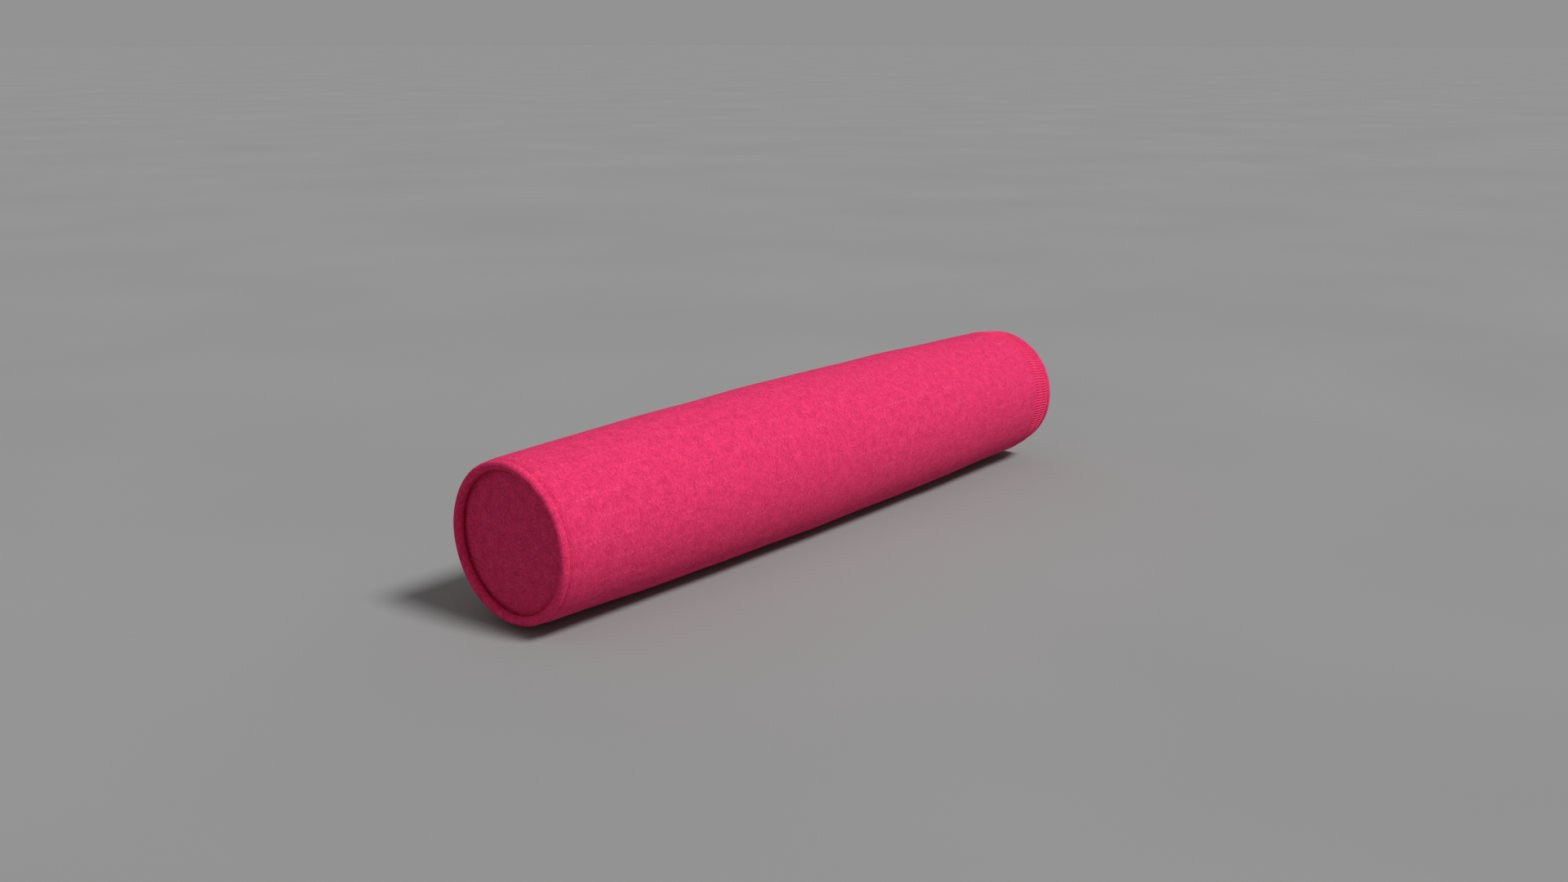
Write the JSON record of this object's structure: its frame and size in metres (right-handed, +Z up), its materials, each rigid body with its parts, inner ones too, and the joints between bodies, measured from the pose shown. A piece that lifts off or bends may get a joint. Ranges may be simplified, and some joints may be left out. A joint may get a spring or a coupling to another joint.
{
  "type": "pull buoy",
  "caption": "Long round swimming float: a foam core in a knitted cover with a piped recessed end, a stitched rounded shoulder and a lengthwise zip.",
  "frame": {"origin": "on the surface it rests on, under the long axis, midway between the two ends", "axes": "+X along the long axis towards the far end, +Z up, zip on the +Y side"},
  "size_m": [0.6, 0.1217, 0.121],
  "materials": {
    "cover_knit": "heathered pink brushed knit",
    "piping_cloth": "the same knit, cut on the bias",
    "piping_filler": "twisted soft cord",
    "sewing_thread": "pink polyester thread",
    "tape_weave": "tight twill tape",
    "liner_cloth": "plain thin woven cloth",
    "wadding": "soft polyester wadding",
    "core_foam": "closed-cell polyethylene foam",
    "zip_plastic": "moulded acetal",
    "slider_metal": "satin lacquered die casting"
  },
  "bodies": {
    "float": {"foam_core": "core_foam", "comfort_wrap": "wadding", "liner_sleeve": "liner_cloth", "near_liner_end": "liner_cloth", "far_liner_end": "liner_cloth", "near_end_pad": "wadding", "far_end_pad": "wadding", "cover_sleeve": "cover_knit", "near_end_panel": "cover_knit", "far_end_panel": "cover_knit", "near_piping_cover": "piping_cloth", "far_piping_cover": "piping_cloth", "near_piping_cord": "piping_filler", "far_piping_cord": "piping_filler", "near_seam_binding": "tape_weave", "far_seam_binding": "tape_weave", "far_flatlock_stitching": "sewing_thread", "zip_tape_upper": "tape_weave", "zip_tape_lower": "tape_weave", "zip_teeth_upper": "zip_plastic", "zip_teeth_lower": "zip_plastic", "zip_top_stops": "zip_plastic", "zip_bottom_stop": "zip_plastic", "zip_stitching_upper": "sewing_thread", "zip_stitching_lower": "sewing_thread", "zip_bar_tacks": "sewing_thread"},
    "slider": {"zip_slider": "slider_metal"},
    "pull": {"zip_pull": "slider_metal"}
  },
  "joints": [
    {"name": "zip_slide", "type": "slide", "parent": "float", "child": "slider", "axis": [-1, 0, 0], "range_m": [0, 0.383], "deforming": ["zip_teeth_upper", "zip_teeth_lower"]},
    {"name": "pull_flip", "type": "hinge", "parent": "slider", "child": "pull", "pos_m": [0.1765, 0.05702, 0.07528], "axis": [0, 0.2588, -0.9659], "range_deg": [0, 170]}
  ]
}
